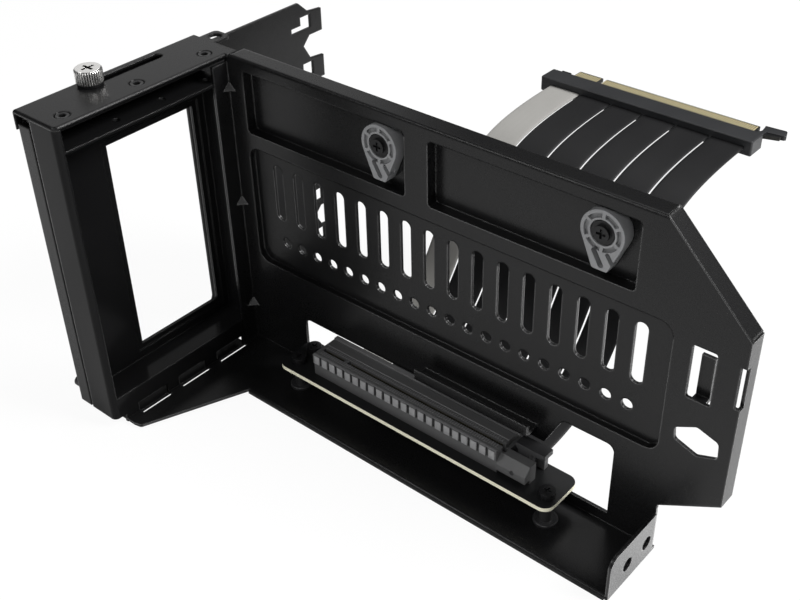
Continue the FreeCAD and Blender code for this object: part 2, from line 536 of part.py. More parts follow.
# Cams: blunt teardrops with a ring groove crossed by spokes, a sunk seat, a slot and an open hook
def makeCam(name, x):
    cam = newBody(name)
    face = -s.camFront
    tip = -s.camZ - s.camTip
    reach = math.hypot(values["camTip"], values["camTipHalf"])
    turn = math.atan2(-values["camTip"], values["camTipHalf"]) + math.acos(values["camR"] / reach)
    side = s.camR * math.cos(turn)
    shoulder = s.camR * math.sin(turn) - s.camZ
    stand(cam, "XZ", face, s.camBack, x, -s.camZ, s.camR)
    add(cam, "XZ", face, s.camBack, [
        (x - side, shoulder), (x - s.camTipHalf, tip), (x + s.camTipHalf, tip), (x + side, shoulder)])
    soften(cam, "Y", [(x - s.camTipHalf, tip), (x + s.camTipHalf, tip)], 0.8)

    def ring(sketch):
        circle(sketch, x, -s.camZ, s.camRingOut)
        circle(sketch, x, -s.camZ, s.camRingIn)

    layer(cam, "Pocket", "XZ", face, face + s.camRingDeep, ring)
    rib = s.camRibT / 2
    first = add(cam, "XZ", face, face + s.camRingDeep + 0.2, box(
        x - rib, s.camRingIn - 0.2 - s.camZ, x + rib, s.camRingOut + 0.2 - s.camZ))
    spin = doc.addObject("PartDesign::PolarPattern", "Spokes")
    cam.addObject(spin)
    spin.Originals = [first]
    guide = newSketch(cam, "XZ", 0)
    circle(guide, x, -s.camZ, 1)
    spin.Axis = (guide, ["N_Axis"])
    middle = FreeCAD.Vector(float(x), -values["camZ"], 0)
    guide.AttachmentOffset = FreeCAD.Placement(middle, FreeCAD.Rotation())
    bind(guide, "AttachmentOffset.Base.x", x)
    bind(guide, "AttachmentOffset.Base.y", -s.camZ)
    spin.Angle = 360
    bind(spin, "Occurrences", s.camRibCount)
    cam.Tip = spin
    slots = (((-2.3, -6.9), (0.3, -11.2), s.camSlotWide), ((2.4, -7.0), (4.4, -9.8), s.camHookWide))
    for (ax, az), (bx, bz), wide in slots:
        long = math.hypot(bx - ax, bz - az)
        overX = wide / 2 * ((bz - az) / long)
        overZ = wide / 2 * ((ax - bx) / long)
        low = face + s.camSlotDeep
        cut(cam, "XZ", face - 1, low, [
            (x + ax + overX, az - s.camZ + overZ), (x + bx + overX, bz - s.camZ + overZ),
            (x + bx - overX, bz - s.camZ - overZ), (x + ax - overX, az - s.camZ - overZ)])
        drill(cam, "XZ", face - 1, low, [(x + ax, az - s.camZ), (x + bx, bz - s.camZ)], wide / 2)
    drill(cam, "XZ", face - 1, face + s.camSink, [(x, -s.camZ)], s.camHeadR + 0.3)
    drill(cam, "XZ", face - 1, s.camBack + 1, [(x, -s.camZ)], s.camBore)
    return cam


makeCam("cam_left", s.camLeftX)
makeCam("cam_right", s.camRightX)


# A pan head on its own broad collar, with a shoulder that the cam turns on.
def camScrew(name, x):
    seat = s.camSink - s.camFront - 0.1
    collar = primitive("Cylinder", name + "Collar", x, seat - s.camHeadT, -s.camZ, alongY,
                       Radius=s.camHeadR, Height=s.camHeadT)
    front = seat - s.camHeadT - s.camPanT
    head = primitive("Cylinder", name + "Head", x, front, -s.camZ, alongY,
                     Radius=s.camPanR, Height=s.camPanT + 0.3)
    shank = primitive("Cylinder", name + "Shank", x, seat - 0.5, -s.camZ, alongY,
                      Radius=s.camPinR, Height=s.pocketDepth - seat + 0.5)
    solid = combine("MultiFuse", name + "Solid", [collar, head, shank])
    long = s.camPanR * 1.2
    wide = s.camPanR * 0.3
    first = primitive("Box", name + "BarA", x - long / 2, front - 1, -s.camZ - wide / 2,
                      Length=long, Width=1.9, Height=wide)
    second = primitive("Box", name + "BarB", x - wide / 2, front - 1, -s.camZ - long / 2,
                       Length=wide, Width=1.9, Height=long)
    return combine("Cut", name, [solid, combine("MultiFuse", name + "Cross", [first, second])])


group("cam_screws", [camScrew("CamScrewA", s.camLeftX), camScrew("CamScrewB", s.camRightX)])

# Riser board on three pillars
board = newBody("riser_board")
boardLow = s.boardTop + s.boardT
add(board, "XY", -boardLow, -s.boardTop, box(s.boardA, -s.boardFront, s.boardB, s.boardRear))
soften(board, "Z", [(s.boardA, -s.boardFront), (s.boardB, -s.boardFront), (s.boardA, s.boardRear),
                    (s.boardB, s.boardRear)], s.boardR)
posts = [(s.postLeft, -s.postY), (s.postRight, -s.postY), (s.postLeft, -s.postBackY)]
drill(board, "XY", -boardLow - 1, 1 - s.boardTop, posts, s.postBore + 0.1)
pillars = []
for k, (x, y) in enumerate(posts):
    shaft = primitive("Cylinder", "Shaft%d" % k, x, y, -s.trayTop,
                      Radius=s.postR, Height=s.trayTop - boardLow)
    foot = primitive("Cylinder", "Foot%d" % k, x, y, -s.trayTop, Radius=s.postFootR, Height=s.postFootT)
    pillars.append(combine("MultiFuse", "Post%d" % k, [shaft, foot]))
group("board_standoffs", pillars)
group("board_screws", [
    crossScrew("BoardScrew%d" % k, x, y, -s.boardTop, s.headR, s.headT, s.postBore, s.boardT, 0.9)
    for k, (x, y) in enumerate(posts)])

# Socket: long body with a card slot, a key, a row of cells on its front and a forked end for the latch
socket = newBody("socket_body")
socketEnd = s.socketA + s.socketLong
socketTop = s.socketTall - s.boardTop
add(socket, "XY", -s.boardTop, socketTop, box(s.socketA, -s.socketFront, socketEnd, -s.socketRear))
add(socket, "XY", -s.boardTop, s.blockTall - s.boardTop, box(
    socketEnd, -s.socketFront, s.blockEnd, -s.socketRear))
centre = -s.cardY
key = s.socketA + s.keyX
for x0, x1 in ((s.socketA + 1.6, key - s.keyWide / 2), (key + s.keyWide / 2, socketEnd + 1)):
    cut(socket, "XY", socketTop - s.socketDeep, socketTop + 1, box(
        x0, centre - s.socketSlot / 2, x1, centre + s.socketSlot / 2))
cut(socket, "XY", -s.boardTop - 1, socketTop + 1, box(socketEnd + 1.4, -s.forkA, s.blockEnd + 1, -s.forkB))
blockTop = s.blockTall - s.boardTop
front = -s.socketFront
cut(socket, "YZ", socketEnd, s.blockEnd + 1, [
    (front - 1, blockTop + 1), (front - 1, blockTop - s.blockSlope - 1),
    (front + s.blockSlope + 1, blockTop + 1)])
cut(socket, "YZ", socketEnd, s.blockEnd + 1, box(
    front - 1, -s.boardTop - 1, front + s.blockSlope, s.blockLift - s.boardTop))
cut(socket, "XZ", -s.socketFront - 1, s.bandSet - s.socketFront, box(
    s.socketA - 1, -s.boardTop - 1, socketEnd, socketTop - s.cellTall))
cellPitch = s.socketLong / s.cellCount
gap = s.socketA + cellPitch - s.cellGap / 2
cell = cut(socket, "XZ", -s.socketFront - 1, s.cellDeep - s.socketFront, box(
    gap, socketTop - s.cellTall, gap + s.cellGap, socketTop + 1))
row(socket, [cell], "X", cellPitch * (s.cellCount - 2), s.cellCount - 1)
cut(socket, "XY", socketTop - s.lineDeep, socketTop + 1, box(
    s.socketA - 1, -s.lineY, socketEnd + 1, s.lineWide - s.lineY))
drill(socket, "XZ", -s.socketFront - 1, 1 - s.socketRear, [(s.latchX, -s.latchZ)], 0.95)


# Contacts: two rows of springs that show along both sides of the card slot
def contactRow(name, y, first, count):
    return [primitive("Box", "%s%d" % (name, k), first + s.contactPitch * k, y, socketTop - 6.5,
                      Length=s.contactWide, Width=s.contactOut, Height=5.5) for k in range(count)]


contacts = []
for side, y in (("Near", centre - s.socketSlot / 2), ("Far", centre + s.socketSlot / 2 - s.contactOut)):
    contacts += contactRow(side + "Short", y, s.socketA + 2.2, 9)
    contacts += contactRow(side + "Long", y, s.socketA + s.keyX + 1.6, 71)
group("socket_contacts", contacts)

# Latch: a lever that turns on a pin through the fork
latch = newBody("socket_latch")
latchA = 0.15 - s.forkA
latchB = -s.forkB - 0.15
stand(latch, "XZ", latchA, latchB, s.latchX, -s.latchZ, s.latchR)
add(latch, "XZ", latchA, latchB, [
    (s.latchX - 2.2, -s.latchZ), (s.latchX + 2.4, -s.latchZ), (s.latchX + 2.6, 5.4 - s.latchZ),
    (s.latchTip, 5.8 - s.latchZ), (s.latchTip, 7.8 - s.latchZ), (s.latchX - 3.2, 7.8 - s.latchZ),
    (s.latchX - 3.2, 6.0 - s.latchZ), (s.latchX - 2.2, 5.4 - s.latchZ)])
stand(latch, "XZ", -s.socketFront + 0.1, -s.socketRear - 0.1, s.latchX, -s.latchZ, 0.9)

# Riser cable: six flat strips on one route of straight runs and tangent arcs, given as (Y, Z)
exitZ = -s.boardTop - s.boardT / 2
route = [(s.boardRear, exitZ), (24.0, exitZ), (44.0, -99.0), (59.0, -75.0), (80.0, -54.5),
         (107.0, -s.plugZ), (s.plugFront, -s.plugZ)]


def routeWire(points):
    spots = [FreeCAD.Vector(0, float(size(y)), float(size(z))) for y, z in points]
    items = []
    start = spots[0]
    radii = []
    for a, b, c in zip(spots, spots[1:], spots[2:]):
        before = (b - a).normalize()
        after = (c - b).normalize()
        turn = before.getAngle(after)
        reach = 0.45 * min((b - a).Length, (c - b).Length)
        radius = reach / math.tan(turn / 2)
        radii.append(round(radius, 1))
        inward = (after - before).normalize()
        enter = b - before * reach
        leave = b + after * reach
        middle = b + inward * (radius / math.cos(turn / 2) - radius)
        items.append(Part.LineSegment(start, enter).toShape())
        items.append(Part.Arc(enter, middle, leave).toShape())
        start = leave
    items.append(Part.LineSegment(start, spots[-1]).toShape())
    return Part.Wire(items), radii


wire, radii = routeWire(route)
print("cable arc radii", radii, "length", round(wire.Length, 2))
strips = []
for k in range(6):
    left = values["stripA"] + values["stripPitch"] * k
    thick = values["stripT"]
    y0 = float(size(route[0][0]))
    z0 = float(size(route[0][1])) - thick / 2
    right = left + values["stripWide"]
    ring = ((left, z0), (right, z0), (right, z0 + thick), (left, z0 + thick), (left, z0))
    corners = [FreeCAD.Vector(x, y0, z) for x, z in ring]
    path = wire.copy()
    path.translate(FreeCAD.Vector(left + values["stripWide"] / 2, 0, 0))
    solid = path.makePipeShell([Part.makePolygon(corners)], True, False)
    strip = doc.addObject("Part::Feature", "ribbon_%d" % (k + 1))
    strip.Label = "ribbon_%d" % (k + 1)
    strip.Shape = solid
    place(strip)
    nodes.append(strip)
    strips.append(solid.Volume)
section = values["stripWide"] * values["stripT"]
print("strip volume over section times length", round(strips[0] / (wire.Length * section), 4))

# Plug: moulding, edge board with a key notch and a hook, gold fingers on both faces
plug = newBody("plug_housing")
plugRear = s.plugFront + s.plugDeep
add(plug, "XY", -s.plugZ - s.plugTall / 2, s.plugTall / 2 - s.plugZ, box(
    s.plugA, s.plugFront, s.plugB, plugRear))
soften(plug, "Z", [(s.plugA, s.plugFront), (s.plugA, plugRear), (s.plugB, s.plugFront),
                   (s.plugB, plugRear)], 0.8)
soften(plug, "X", [(s.plugFront, s.plugTall / 2 - s.plugZ), (s.plugFront, -s.plugZ - s.plugTall / 2)], 0.6)

edgeBoard = newBody("plug_board")
edgeEnd = s.edgeA + s.edgeShort + s.edgeNotch + s.edgeLong
notch = s.edgeA + s.edgeShort
tipY = plugRear + s.edgeOut
add(edgeBoard, "XY", -s.plugZ - s.boardT / 2, s.boardT / 2 - s.plugZ, [
    (s.plugA + 1.5, plugRear), (s.plugB - 1.5, plugRear), (s.plugB - 1.5, plugRear + 3),
    (s.plugB + 4.6, plugRear + 5), (s.plugB + 4.6, tipY + 1.5), (s.plugB + 2.2, tipY + 1.5),
    (s.plugB + 1.4, plugRear + 7.4),
    (edgeEnd + 1.5, plugRear + 5.5), (edgeEnd, plugRear + 5.5), (edgeEnd, tipY), (notch + s.edgeNotch, tipY),
    (notch + s.edgeNotch, plugRear + 1.2), (notch, plugRear + 1.2), (notch, tipY), (s.edgeA, tipY),
    (s.edgeA, plugRear + 1.2), (s.edgeA - 2.2, plugRear + 1.2), (s.edgeA - 2.2, plugRear + 5.2),
    (s.plugA + 1.5, plugRear + 5.2)])


def fingers(name, first, count, z):
    return [primitive("Box", "%s%d" % (name, k), first + s.contactPitch * k, plugRear + 2.2, z,
                      Length=s.fingerWide, Width=s.edgeOut - 2.9, Height=s.fingerT) for k in range(count)]


gold = []
for side, z in (("Upper", s.boardT / 2 - s.plugZ), ("Lower", -s.plugZ - s.boardT / 2 - s.fingerT)):
    gold += fingers(side + "Short", s.edgeA + 0.5, 11, z)
    gold += fingers(side + "Long", notch + s.edgeNotch + 0.3, 71, z)
group("plug_contacts", gold)


# Pressed nuts in the end flange, open to the outside
def pressedNut(name, y):
    body = primitive("Prism", name + "Body", s.trayRight - t, y, -s.nutZ, againstX,
                     Circumradius=s.nutFlat * 0.6, Height=s.nutT - t)
    body.Polygon = 6
    neck = primitive("Cylinder", name + "Neck", s.trayRight - t - 0.2, y, -s.nutZ, towardX,
                     Radius=s.nutFlat * 0.52 - 0.05, Height=t + 0.1)
    hole = primitive("Cylinder", name + "Hole", s.trayRight - 5, y, -s.nutZ, towardX,
                     Radius=s.nutBore, Height=8)
    return combine("Cut", name, [combine("MultiFuse", name + "Solid", [body, neck]), hole])


group("end_nuts", [pressedNut("NutA", -s.nutA), pressedNut("NutB", -s.nutB)])

doc.recompute()
os.makedirs("parts", exist_ok=True)
problems = []
for item in doc.Objects:
    if "Invalid" in item.State or "Error" in item.State:
        problems.append("%s %s" % (item.Name, item.State))
for node in nodes:
    if node.Shape.isNull() or not node.Shape.isValid():
        problems.append("shape of " + node.Label)
if problems:
    raise RuntimeError("not written: " + ", ".join(problems))
for node in nodes:
    node.Shape.exportStep("parts/%s.step" % node.Label)
    bounds = node.Shape.BoundBox
    print(node.Label, len(node.Shape.Solids), round(node.Shape.Volume, 1), [round(v, 1) for v in (
        bounds.XMin, bounds.YMin, bounds.ZMin, bounds.XMax, bounds.YMax, bounds.ZMax)])
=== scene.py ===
import math

import bmesh
import bpy
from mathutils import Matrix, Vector


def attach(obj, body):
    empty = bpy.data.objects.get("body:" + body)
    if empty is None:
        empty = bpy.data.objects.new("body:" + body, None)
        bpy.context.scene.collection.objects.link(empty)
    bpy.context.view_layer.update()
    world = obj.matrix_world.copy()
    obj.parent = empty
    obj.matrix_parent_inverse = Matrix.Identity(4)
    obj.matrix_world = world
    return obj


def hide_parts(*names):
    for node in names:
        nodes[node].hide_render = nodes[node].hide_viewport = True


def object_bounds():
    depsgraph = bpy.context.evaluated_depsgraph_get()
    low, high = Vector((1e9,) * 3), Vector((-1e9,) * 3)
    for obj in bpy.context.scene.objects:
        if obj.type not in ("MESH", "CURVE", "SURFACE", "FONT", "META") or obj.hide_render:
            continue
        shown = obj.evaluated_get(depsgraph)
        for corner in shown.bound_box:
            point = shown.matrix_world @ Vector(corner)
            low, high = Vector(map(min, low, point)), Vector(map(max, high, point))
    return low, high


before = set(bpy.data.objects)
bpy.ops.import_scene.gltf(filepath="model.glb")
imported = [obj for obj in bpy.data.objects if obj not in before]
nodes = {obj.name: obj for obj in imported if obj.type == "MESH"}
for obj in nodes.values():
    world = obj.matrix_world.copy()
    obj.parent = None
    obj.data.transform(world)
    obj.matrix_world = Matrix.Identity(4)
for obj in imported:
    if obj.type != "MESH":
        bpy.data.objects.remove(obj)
scene = bpy.context.scene
solidLow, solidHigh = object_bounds()
mm = 0.001
print("mount: frame loaded,", len(nodes), "nodes")


# shader maths: a socket that can be added, scaled and compared like a number
class Wire:
    def __init__(self, tree, socket):
        self.tree = tree
        self.socket = socket

    def combine(self, operation, other, swapped=False):
        node = self.tree.nodes.new("ShaderNodeMath")
        node.operation = operation
        pair = (other, self) if swapped else (self, other)
        for slot, value in zip(node.inputs, pair):
            if isinstance(value, Wire):
                self.tree.links.new(value.socket, slot)
            else:
                slot.default_value = value
        return Wire(self.tree, node.outputs[0])

    def __add__(self, other):
        return self.combine("ADD", other)

    def __radd__(self, other):
        return self.combine("ADD", other, True)

    def __sub__(self, other):
        return self.combine("SUBTRACT", other)

    def __rsub__(self, other):
        return self.combine("SUBTRACT", other, True)

    def __mul__(self, other):
        return self.combine("MULTIPLY", other)

    def __rmul__(self, other):
        return self.combine("MULTIPLY", other, True)

    def __truediv__(self, other):
        return self.combine("DIVIDE", other)

    def __rtruediv__(self, other):
        return self.combine("DIVIDE", other, True)

    def __gt__(self, other):
        return self.combine("GREATER_THAN", other)

    def __lt__(self, other):
        return self.combine("LESS_THAN", other)


socketNames = {
    "color": "Base Color", "rough": "Roughness", "metal": "Metallic", "level": "Specular IOR Level",
    "normal": "Normal", "coat": "Coat Weight", "coatRough": "Coat Roughness",
}


# the nodes of one material, or of the world
class Finish:
    def __init__(self, name, world=False):
        self.owner = (bpy.data.worlds if world else bpy.data.materials).new(name)
        self.owner.use_nodes = True
        self.tree = self.owner.node_tree
        self.tree.nodes.clear()

    # any node: its settings come first, then the values or links of its sockets
    def add(self, kind, settings=None, values=None, out=0):
        node = self.tree.nodes.new("ShaderNode" + kind)
        for key, value in (settings or {}).items():
            setattr(node, key, value)
        for key, value in (values or {}).items():
            if isinstance(value, Wire):
                self.tree.links.new(value.socket, node.inputs[key])
            else:
                node.inputs[key].default_value = value
        return Wire(self.tree, node.outputs[out]) if node.outputs else node

    def where(self):
        return self.add("TexCoord", out="Object")

    def facing(self):
        return self.add("NewGeometry", out="Normal")

    def part(self, vector, axis):
        return self.add("SeparateXYZ", values={"Vector": vector}, out=axis)

    # 1 on faces that look up or down, 0 on upright ones
    def levelFaces(self):
        upright = self.part(self.facing(), "Z")
        return (upright * upright) > 0.5

    def noise(self, scale, detail=3.0, rough=0.55):
        values = {"Vector": self.where(), "Scale": scale, "Detail": detail, "Roughness": rough}
        return self.add("TexNoise", values=values)

    # noise that is drawn out into lines
    def lines(self, scale, detail, stretch):
        place = self.add("Mapping", values={"Vector": self.where(), "Scale": stretch})
        return self.add("TexNoise", values={"Vector": place, "Scale": scale, "Detail": detail})

    def blend(self, factor, first, second):
        return self.add("Mix", {"data_type": "RGBA"}, {0: factor, 6: first, 7: second}, out=2)

    # rounded look on sharp edges
    def softEdges(self, radius):
        return self.add("Bevel", {"samples": 6}, {"Radius": radius})

    def relief(self, height, distance, normal, strength=1.0):
        values = {"Height": height, "Distance": distance, "Strength": strength, "Normal": normal}
        return self.add("Bump", values=values)

    def done(self, **sockets):
        values = {socketNames[key]: value for key, value in sockets.items()}
        shader = self.add("BsdfPrincipled", values=values)
        self.add("OutputMaterial", values={"Surface": shader})
        return self.owner


# camera solved from the photograph's own edges, for a picture of 800 by 600
viewFrom = {
    "place": (0.327658, -0.285749, 0.233961), "turn": (54.5084, 1.17119, 40.32668),
    "lens": 52.6513, "sensor": 36, "near": 0.01, "far": 20,
}
eye = bpy.data.cameras.new("eye")
eye.lens = viewFrom["lens"]
eye.sensor_width = viewFrom["sensor"]
eye.clip_start = viewFrom["near"]
eye.clip_end = viewFrom["far"]
camera = bpy.data.objects.new("camera", eye)
camera.location = viewFrom["place"]
camera.rotation_euler = [math.radians(angle) for angle in viewFrom["turn"]]
scene.collection.objects.link(camera)
scene.camera = camera
scene.view_settings.view_transform = "Standard"
print("mount: camera set")


# quads between two loops of the same count
def wall(work, low, high):
    for k in range(len(low)):
        after = (k + 1) % len(low)
        work.faces.new((low[k], low[after], high[after], high[k]))


# riser cable: six flat strips that follow one smooth line from the board's rear edge to the plug
cable = {
    "route": [(-0.027, -0.0523), (-0.004, -0.0523), (0.016, -0.036), (0.031, -0.012), (0.052, 0.0085),
              (0.079, 0.0157), (0.106, 0.0157)],
    "steps": 14, "length": 0.1596,
    "strips": 6, "firstMiddle": 0.0814, "pitch": 0.0152, "wide": 0.01455, "thick": 0.001,
    # section of one strip, in shares of half its width and half its thickness
    "across": [-1, -0.985, -0.95, -0.8, -0.5, 0, 0.5, 0.8, 0.95, 0.985, 1],
    "crown": [0, 0.55, 0.8, 0.9, 0.97, 1, 0.97, 0.9, 0.8, 0.55, 0],
    "plug": ["plug_housing", "plug_board", "plug_contacts"],
}


def routeCurve(name, x):
    curve = bpy.data.curves.new(name, "CURVE")
    curve.dimensions = "3D"
    curve.resolution_u = cable["steps"]
    spline = curve.splines.new("NURBS")
    spline.points.add(len(cable["route"]) - 1)
    for point, (y, z) in zip(spline.points, cable["route"]):
        point.co = (x, y, z, 1)
    spline.order_u = 3
    spline.use_endpoint_u = True
    return curve


def readLine(curve):
    holder = bpy.data.objects.new("line", curve)
    scene.collection.objects.link(holder)
    mesh = bpy.data.meshes.new_from_object(holder.evaluated_get(bpy.context.evaluated_depsgraph_get()))
    points = [vertex.co.copy() for vertex in mesh.vertices]
    bpy.data.objects.remove(holder)
    bpy.data.meshes.remove(mesh)
    return points


# flat jacket with soft edges and a low crown, as taped ribbon has
def stripSection():
    half = cable["wide"] / 2
    thick = cable["thick"] / 2
    upper = [(half * a, thick * b) for a, b in zip(cable["across"], cable["crown"])]
    lower = [(a, -b) for a, b in upper[-2:0:-1]]
    return upper + lower


def makeStrip(index):
    x = cable["firstMiddle"] + cable["pitch"] * index
    name = "strip%d" % (index + 1)
    line = readLine(routeCurve("route%d" % index, x))
    section = stripSection()
    work = bmesh.new()
    rings = []
    for k, spot in enumerate(line):
        ahead = line[min(k + 1, len(line) - 1)] - line[max(k - 1, 0)]
        up = Vector((1, 0, 0)).cross(ahead).normalized()
        rings.append([work.verts.new(spot + Vector((a, 0, 0)) + up * b) for a, b in section])
    for first, second in zip(rings, rings[1:]):
        wall(work, first, second)
    work.faces.new(rings[0])
    work.faces.new(list(reversed(rings[-1])))
    bmesh.ops.recalc_face_normals(work, faces=work.faces)
    for face in work.faces:
        face.smooth = len(face.verts) == 4  # the two ends stay flat
    mesh = bpy.data.meshes.new(name)
    work.to_mesh(mesh)
    work.free()
    strip = bpy.data.objects.new(name, mesh)
    scene.collection.objects.link(strip)
    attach(strip, "carriage")
    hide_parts("ribbon_%d" % (index + 1))
    return strip


# outline with six flats, for turned() below
def hexagon(angle):
    return math.cos(math.pi / 6) / math.cos(angle % (math.pi / 3) - math.pi / 6)


# turns a profile of (radius, height, outline) about an axis; a closed profile makes a ring
def turned(work, spot, profile, sides=48, axis="z", closed=False, openTop=False):
    rings = []
    for radius, height, *outline in profile:
        ring = []
        for k in range(sides):
            angle = math.tau * k / sides
            reach = radius * (outline[0](angle) if outline else 1)
            across = (reach * math.cos(angle), reach * math.sin(angle))
            offset = across + (height,) if axis == "z" else (height,) + across
            ring.append(work.verts.new((Vector(spot) + Vector(offset)) * mm))
        rings.append(ring)
    for low, high in zip(rings, rings[1:] + (rings[:1] if closed else [])):
        wall(work, low, high)
    if not closed:
        work.faces.new(rings[0])
        if not openTop:
            work.faces.new(rings[-1])
    return rings[-1]


# small moulded block with softened edges, between two corners
def block(work, low, high, soft, segments=1):
    verts = bmesh.ops.create_cube(work, size=1)["verts"]
    for vert in verts:
        vert.co = [mm * (a if part < 0 else b) for part, a, b in zip(vert.co, low, high)]
    edges = {edge for vert in verts for edge in vert.link_edges}
    bmesh.ops.bevel(work, geom=list(edges), offset=soft * mm, segments=segments, affect="EDGES", profile=0.5)


crease = math.radians(32)  # sharper edges than this stay crisp


def finishPiece(name, work, body, replaced=None):
    bmesh.ops.recalc_face_normals(work, faces=work.faces)
    for face in work.faces:
        face.smooth = True
    for edge in work.edges:
        edge.smooth = edge.calc_face_angle(math.pi) < crease
    mesh = bpy.data.meshes.new(name)
    work.to_mesh(mesh)
    work.free()
    piece = bpy.data.objects.new(name, mesh)
    scene.collection.objects.link(piece)
    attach(piece, body)
    if replaced:
        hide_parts(replaced)
    return piece


# thumbscrew: toothed head with a cross recess over a threaded shank, in millimetres
thumb = {
    "spot": (3.8, -74.2, 63.85), "radius": 4.9, "top": 5.3,
    "foot": [(0.93, -0.02), (0.95, 0.3)],  # share of the radius, height
    "crown": [(0.93, 0.12), (0.9, 0)],  # share of the radius, drop from the top
    "teeth": 34, "toothEnd": 0.6, "groove": 0.1, "flank": 3.2, "crest": 0.6,
    "shank": 1.75, "low": -9.0, "tip": 0.4, "lead": 0.35, "rings": 16, "ringStep": 0.5, "ringDeep": 0.2,
    "arm": 2.5, "armHalf": 0.5, "recess": 1.5, "recessFloor": 0.8,
}


def toothed(angle):
    place = angle * thumb["teeth"] / math.tau % 1
    slope = abs(place - 0.5) * thumb["flank"] - thumb["crest"]
    return 1 - thumb["groove"] * min(1, max(0, slope))


def makeThumbscrew():
    work = bmesh.new()
    r = thumb["radius"]
    top = thumb["top"]
    shank = thumb["shank"]
    profile = [(shank - thumb["tip"], thumb["low"])]
    for k in range(thumb["rings"]):
        height = thumb["low"] + thumb["lead"] + thumb["ringStep"] * k
        profile.append((shank - thumb["ringDeep"] * (k % 2), height))
    profile.append((shank, thumb["foot"][0][1]))
    profile += [(r * share, height) for share, height in thumb["foot"]]
    profile += [(r, height, toothed) for height in (thumb["toothEnd"], top - thumb["toothEnd"])]
    profile += [(r * share, top - drop) for share, drop in thumb["crown"]]
    rim = turned(work, thumb["spot"], profile, sides=thumb["teeth"] * 4, openTop=True)
    arm = thumb["arm"]
    half = thumb["armHalf"]
    outline = [
        (arm, -half), (arm, half), (half, half), (half, arm), (-half, arm), (-half, half),
        (-arm, half), (-arm, -half), (-half, -half), (-half, -arm), (half, -arm), (half, -half),
    ]
    loops = []
    for depth, scale in ((0, 1), (thumb["recess"], thumb["recessFloor"])):
        spot = Vector(thumb["spot"]) + Vector((0, 0, top - depth))
        loops.append([work.verts.new((spot + Vector((x * scale, y * scale, 0))) * mm) for x, y in outline])
    edges = []
    for loop in (rim, loops[0]):
        for a, b in zip(loop, loop[1:] + loop[:1]):
            edges.append(work.edges.get((a, b)) or work.edges.new((a, b)))
    bmesh.ops.triangle_fill(work, use_beauty=True, edges=edges)
    wall(work, loops[0], loops[1])
    work.faces.new(loops[1])
    return finishPiece("thumbscrewHead", work, "thumb", "thumbscrew")


# countersunk cap screws with a six-sided key recess, each as radius and height
capScrew = {
    "spots": [(15.8, -32.7 - 31.1 * k, 62.9) for k in range(3)],
    "shape": [(1.05, -3.0), (1.35, -2.6), (1.35, -0.7), (2.45, -0.65), (2.45, -0.12), (2.3, 0), (1.55, 0)],
    "key": [(1.35, -0.1), (1.27, -1.3)],
}


def makeCapScrews():
    work = bmesh.new()
    profile = capScrew["shape"] + [(radius, height, hexagon) for radius, height in capScrew["key"]]
    for spot in capScrew["spots"]:
        turned(work, spot, profile)
    return finishPiece("capScrewSet", work, "carriage", "cap_screws")


# nuts pressed in behind the end flange, seen through its two holes
endNut = {
    "spots": [(209.4, -33.2, -56.7), (209.4, -45.1, -56.7)], "corner": 3.0, "thick": 1.38,
    "bore": 1.5, "mouth": 1.85, "rings": 8, "ringDeep": 0.2, "margin": 0.2,
}


def makeEndNuts():
    work = bmesh.new()
    thick = endNut["thick"]
    margin = endNut["margin"]
    profile = [(endNut["corner"], height, hexagon) for height in (0, thick)]
    profile.append((endNut["mouth"], thick))
    for k in range(endNut["rings"]):
        height = thick - margin - (thick - 2 * margin) * k / (endNut["rings"] - 1)
        profile.append((endNut["bore"] - endNut["ringDeep"] * (k % 2), height))
    profile.append((endNut["mouth"], 0))
    for spot in endNut["spots"]:
        turned(work, spot, profile, axis="x", closed=True)
    return finishPiece("endNutPair", work, "carriage", "end_nuts")


# wide collars under the two front pillars, as radius and height
collar = {
    "spots": [(60.0, -40.2, -63.1), (177.0, -40.2, -63.1)],
    "shape": [(3.25, 0.02), (4.4, 0.02), (4.4, 0.85), (4.15, 1.1), (3.25, 1.1)],
}


def makeCollars():
    work = bmesh.new()
    for spot in collar["spots"]:
        turned(work, spot, collar["shape"], closed=True)
    return finishPiece("pillarCollars", work, "carriage")


# card socket: cells along its front, in plastic painted pale: painted light on their raised faces
cells = {
    "first": 70.0, "count": 22, "pitch": 87 / 22, "gap": 1.3, "soft": 0.12,
    "front": -42.66, "back": -42.3, "low": -45.85, "high": -42.2,
}


def makeCells():
    work = bmesh.new()
    wide = cells["pitch"] - cells["gap"]
    for k in range(cells["count"]):
        left = cells["first"] + cells["pitch"] * k + cells["gap"] / 2
        near = (left, cells["front"], cells["low"])
        far = (left + wide, cells["back"], cells["high"])
        block(work, near, far, cells["soft"], segments=2)
    return finishPiece("socketCells", work, "carriage")


# card socket: combs of contact openings beside the card slot, and the rails along them, in plastic painted
# paler than the body: painted light on their tops
combs = {
    "first": 71.9, "count": 84, "pitch": 1.0, "wide": 0.5, "low": -41.9, "high": -41.62, "soft": 0.08,
    "rows": [(-40.35, -38.65), (-36.55, -35.2)],
    "rails": [(-42.3, -41.3, -41.68), (-34.9, -34.4, -41.6), (-30.6, -28.5, -41.1)],
    "ends": (70.1, 156.9), "railSoft": 0.1,
}


def makeCombs():
    work = bmesh.new()
    low = combs["low"]
    for near, far in combs["rows"]:
        for k in range(combs["count"]):
            left = combs["first"] + combs["pitch"] * k
            block(work, (left, near, low), (left + combs["wide"], far, combs["high"]), combs["soft"])
    start, end = combs["ends"]
    for near, far, high in combs["rails"]:
        block(work, (start, near, low), (end, far, high), combs["railSoft"])
    return finishPiece("socketCombs", work, "carriage")


# flat tab at the plug's end that guides it into its slot
tab = {
    "low": 14.75, "high": 16.75, "soft": 0.25,
    "outline": [(166.0, 115.8), (166.2, 121.3), (173.4, 122.0), (174.0, 122.8), (172.7, 126.5),
                (172.0, 127.0), (163.5, 126.3), (164.6, 121.3), (163.2, 119.3), (161.8, 119.0),
                (161.8, 115.8)],
}


